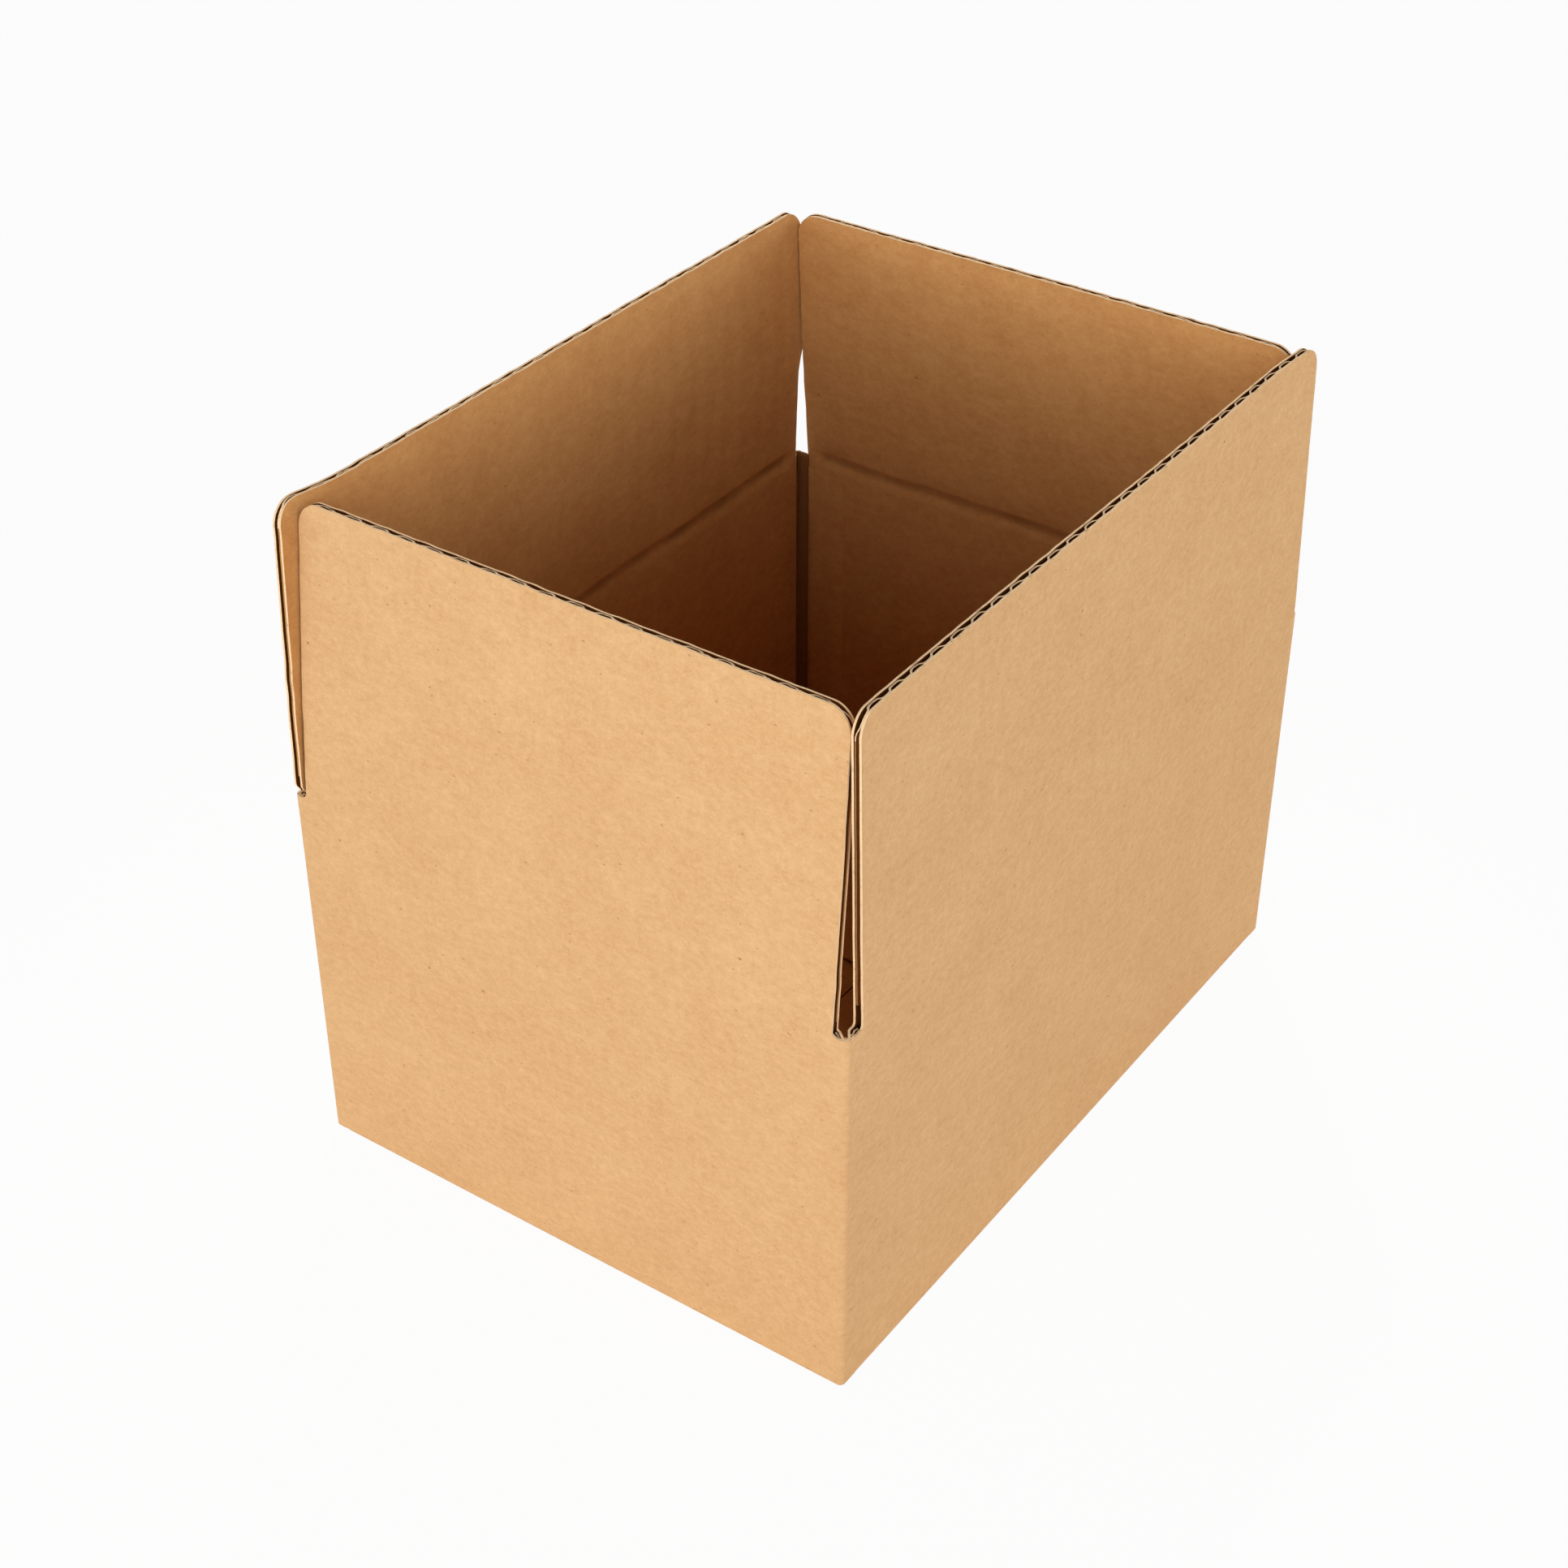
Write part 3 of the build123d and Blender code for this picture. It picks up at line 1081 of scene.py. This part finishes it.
def tinted(wire, colour, shade):
    """A colour times a grey value that changes over the sheet."""
    settings = {"data_type": "RGBA", "blend_type": "MULTIPLY"}
    return wire.node("ShaderNodeMix", settings, {0: 1.0, 6: (*colour, 1.0), 7: shade}, output=2)


def shaded(wire, colour, shade):
    """A colour that is itself at a shade of 1: blue follows the shade most and red least."""
    deep, pale = [
        (*[value * (1 + way * follow) for value, follow in zip(colour, SHADE_FOLLOW)], 1.0)
        for way in (-0.5, 0.5)
    ]
    return wire.node("ShaderNodeMix", {"data_type": "RGBA"}, {0: shade - 0.5, 6: deep, 7: pale}, output=2)


def spotted(wire, colour, spot, mask):
    """A second colour laid over the first through a mask."""
    return wire.node("ShaderNodeMix", {"data_type": "RGBA"}, {0: mask, 6: colour, 7: (*spot, 1.0)}, output=2)


def finish_paper(wire, colour, roughness, height, bump, gloss):
    """Ends a material with a shader that has this colour and relief."""
    shader = {
        "Base Color": colour,
        "Roughness": roughness,
        "Normal": wire.node("ShaderNodeBump", None, {"Height": height, **bump}),
        "Specular IOR Level": gloss,
    }
    surface = wire.node("ShaderNodeBsdfPrincipled", None, shader)
    wire.node("ShaderNodeOutputMaterial", None, {"Surface": surface})


def kraft(name, colour, speck, settings, mottle=1.0, washboard=1.0, crushed=0.0, gloss=0.22):
    """Brown kraft paper: clouds, fine fibres, dark specks and the faint washboard of the flutes.

    crushed is the share of painted shade laid on the paper where a fold, a crease or a crushed edge has
    pressed the board thin.
    """
    wire = bare_nodes(bpy.data.materials.new(name))
    sheet = blank_sheet(wire)
    layers = {layer: paper_noise(wire, sheet, *values) for layer, values in PAPER_NOISE.items()}
    shade = 1.0
    for layer, amount in MOTTLE_SHADES.items():
        shade = shade + (layers[layer] - 0.5) * (amount * mottle)
    for layer, amount in FINE_SHADES.items():
        shade = shade + (layers[layer] - 0.5) * amount
    shade = shade - threshold(wire, layers["fibres"], *DARK_FIBRES) * DARK_FIBRE_SHADE
    shade = shade + threshold(wire, layers["fibres"], *PALE_FIBRES) * PALE_FIBRE_SHADE

    paper = shaded(wire, colour, shade)
    paper = spotted(wire, paper, speck, specks(wire, sheet, *SPECKS) + specks(wire, sheet, *FINE_SPECKS))
    # Painted shade: darker where the board's depth kept in the blank coordinate is small, in folds, creases
    # and crushed edges
    groove = threshold(wire, coordinate(wire, sheet, "Z"), *GROOVE_SHADE_DEPTHS) * crushed
    groove_shade_colour = [value * tint for value, tint in zip(colour, GROOVE_SHADE_TINT)]
    paper = spotted(wire, paper, groove_shade_colour, groove)

    across = coordinate(wire, sheet, "X")
    flutes = wire.maths("SINE", across * (2 * pi / settings.board.flute_pitch))
    height = 0.0
    for layer, amount in RELIEF.items():
        height = height + layers[layer] * amount
    height = height + flutes * (FLUTE_RELIEF * washboard)
    roughness = KRAFT_ROUGHNESS + (layers["grain"] - 0.5) * KRAFT_ROUGHNESS_SPREAD
    finish_paper(wire, paper, roughness, height, KRAFT_BUMP, gloss)


def cut_paper(name, colour, shadow):
    """Cut edges of the sheets: pale and fuzzy."""
    wire = bare_nodes(bpy.data.materials.new(name))
    sheet = blank_sheet(wire)
    fuzz = paper_noise(wire, sheet, *CUT_FUZZ)
    wear_and_shade = threshold(wire, paper_noise(wire, sheet, *CUT_WEAR), *CUT_WEAR_EDGES)
    paper = tinted(wire, colour, CUT_SHADE + (fuzz - 0.5) * CUT_SHADE_SPREAD)
    paper = spotted(wire, paper, shadow, wear_and_shade * CUT_WEAR_SHARE)
    finish_paper(wire, paper, CUT_ROUGHNESS, fuzz, CUT_BUMP, 0.0)


def board_materials(settings):
    """The four finishes of the board, made once."""
    names = ("kraft_outside", "kraft_inside", "cut_paper", "fluted_medium")
    if names[0] not in bpy.data.materials:
        finish = settings.finish
        kraft(names[OUTSIDE], finish.outside, finish.speck, settings)
        # Inside paper: its darker colour is partly painted shade of the interior, and it gets painted shade
        # in its crushed grooves
        kraft(names[SHADED_INSIDE], finish.inside, finish.speck, settings, mottle=1.3, washboard=1.6, crushed=0.75)
        cut_paper(names[CUT], finish.cut, finish.medium)
        # The fluted sheet's kraft is painted near black-brown: painted shade of the flute channels
        kraft(names[SHADED_MEDIUM], finish.medium, finish.speck, settings, washboard=0.0, gloss=0.0)
    return [bpy.data.materials[name] for name in names]


def white_when_seen(wire, glow, surface, share):
    """A surface that the camera sees mostly as plain white, and that other light sees as it is."""
    seen = wire.node("ShaderNodeLightPath", output="Is Camera Ray")
    for output in ("Is Glossy Ray", "Is Transmission Ray"):
        seen = wire.maths("MAXIMUM", seen, wire.node("ShaderNodeLightPath", output=output))
    bright = wire.node(glow, None, {"Color": WHITE, "Strength": 1.0})
    return wire.node("ShaderNodeMixShader", None, {0: seen * share, 1: surface, 2: bright})


# Operators


class CARTON_OT_walls(bpy.types.Operator):
    """Add the walls, the closed floor and the glue tab as one folded sheet"""

    bl_idname = "carton.walls"
    bl_label = "Walls and Floor"

    def execute(self, context):
        settings = context.scene.carton
        board = settings.board
        walls = carton_walls(settings)
        stations = sheet_stations(walls, settings)
        mesh = new_board_mesh()
        outer = WallSheet(walls, settings, 0.0)
        inner = WallSheet(walls, settings, board.board)
        tab = settings.folds.tab_width + walls[1].slots[0]

        # Painted shade: the rims of the glue tab, of the slot beside it and of the floor flaps take the brown
        # inside paper, not pale cut paper
        def wear_and_shade(blank):
            return blank.x < tab or is_floor(blank)

        for sheet, side in ((outer, OUTSIDE), (inner, SHADED_INSIDE)):
            rows, sides, inward = sheet.rows(), (side, SHADED_MEDIUM), side == SHADED_INSIDE
            lay_sheet(mesh, stations, rows, sheet.place, board.liner, sides, sheet.keep, inward, wear_and_shade)
        add_floor_flutes(mesh, outer)
        add_joint_flutes(mesh, outer)
        add_slot_flutes(mesh, outer, stations)
        piece = finish_piece("walls_and_floor", mesh, board_materials(settings))
        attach(piece, "carton")
        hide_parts("box_body")
        return {"FINISHED"}


class CARTON_OT_top_flaps(bpy.types.Operator):
    """Add the four top flaps, each of two liners and a fluted sheet"""

    bl_idname = "carton.top_flaps"
    bl_label = "Top Flaps"

    def execute(self, context):
        settings = context.scene.carton
        walls = carton_walls(settings)
        materials = board_materials(settings)
        for index, wall in enumerate(walls):
            if wall.flap is not None:
                add_top_flap(walls, index, settings, materials)
        return {"FINISHED"}


class CARTON_OT_stage(bpy.types.Operator):
    """Add the floor, the soft lights, the white surroundings and the camera"""

    bl_idname = "carton.stage"
    bl_label = "Stage"

    def execute(self, context):
        stage = context.scene.carton.stage
        context.scene.view_settings.view_transform = "Standard"
        self.add_floor(context)
        self.add_surroundings(context, stage)
        self.add_lights(context, stage)
        self.add_camera(context, stage)
        return {"FINISHED"}

    def add_floor(self, context):
        mesh = bmesh.new()
        bmesh.ops.create_grid(mesh, x_segments=2, y_segments=2, size=FLOOR_HALF)
        data = bpy.data.meshes.new("studio_floor")
        mesh.to_mesh(data)
        mesh.free()
        floor = bpy.data.objects.new("studio_floor", data)
        context.scene.collection.objects.link(floor)
        material = bpy.data.materials.new("studio_floor")
        wire = bare_nodes(material)
        paint = wire.node("ShaderNodeBsdfDiffuse", None, {"Color": FLOOR_COLOUR})
        place = wire.node("ShaderNodeTexCoord", output="Object")
        beyond = []
        for axis, half in zip("XY", cad_box[1]):
            distance = wire.maths("ABSOLUTE", coordinate(wire, place, axis))
            beyond.append(wire.maths("GREATER_THAN", distance, half - UNDER_WALL))
        share = wire.maths("MAXIMUM", *beyond) * FLOOR_WHITE_SHARE
        surface = white_when_seen(wire, "ShaderNodeEmission", paint, share)
        wire.node("ShaderNodeOutputMaterial", None, {"Surface": surface})
        data.materials.append(material)

    def add_surroundings(self, context, stage):
        world = bpy.data.worlds.new("studio")
        wire = bare_nodes(world)
        upward = coordinate(wire, wire.node("ShaderNodeTexCoord", output="Generated"), "Z")
        low, high = [
            wire.node("ShaderNodeBackground", None, {"Color": WHITE, "Strength": strength})
            for strength in (stage.horizon, stage.zenith)
        ]
        sky = {0: threshold(wire, upward, *SKY_EDGES), 1: low, 2: high}
        dome = wire.node("ShaderNodeMixShader", None, sky)
        surface = white_when_seen(wire, "ShaderNodeBackground", dome, 1.0)
        wire.node("ShaderNodeOutputWorld", None, {"Surface": surface})
        context.scene.world = world

    def add_lights(self, context, stage):
        key = bpy.data.lights.new("key_light", "AREA")
        key.shape = "RECTANGLE"
        key.size, key.size_y = KEY_SIZE
        key.energy = stage.key_power
        rim = bpy.data.lights.new("rim_light", "SPOT")
        rim.spot_size, rim.spot_blend = RIM_CONE, RIM_CONE_BLEND
        rim.shadow_soft_size = RIM_SOFTNESS
        rim.energy = stage.rim_power
        for light, spot in ((key, KEY_PLACE), (rim, RIM_PLACE)):
            self.place(context, light, spot, Vector(LIGHT_TARGET) - Vector(spot))

    def add_camera(self, context, stage):
        data = bpy.data.cameras.new("camera")
        data.sensor_width = SENSOR_WIDTH
        data.lens = stage.lens
        data.clip_start, data.clip_end = CLIP_RANGE
        context.scene.camera = self.place(context, data, stage.eye, Vector(stage.gaze))

    def place(self, context, data, spot, direction):
        """Adds a light or camera at a spot, pointing in a direction."""
        item = bpy.data.objects.new(data.name, data)
        context.scene.collection.objects.link(item)
        item.location = spot
        item.rotation_mode = "QUATERNION"
        item.rotation_quaternion = direction.to_track_quat("-Z", "Y")
        return item


class CARTON_PT_build(bpy.types.Panel):
    """Lists the carton's operators"""

    bl_idname = "CARTON_PT_build"
    bl_label = "Carton"
    bl_space_type = "VIEW_3D"
    bl_region_type = "UI"
    bl_category = "Carton"

    def draw(self, context):
        for operator in OPERATORS:
            self.layout.operator(operator.bl_idname)


GROUPS = (BoardSettings, FoldSettings, FlapSettings, FinishSettings, StageSettings, CartonSettings)
OPERATORS = (CARTON_OT_walls, CARTON_OT_top_flaps, CARTON_OT_stage)
CLASSES = GROUPS + OPERATORS + (CARTON_PT_build,)


def register():
    for cls in CLASSES:
        bpy.utils.register_class(cls)
    bpy.types.Scene.carton = PointerProperty(type=CartonSettings)


def unregister():
    del bpy.types.Scene.carton
    for cls in reversed(CLASSES):
        bpy.utils.unregister_class(cls)


def main():
    register()
    bpy.ops.carton.walls()
    bpy.ops.carton.top_flaps()
    bpy.ops.carton.stage()


if __name__ == "__main__":
    main()
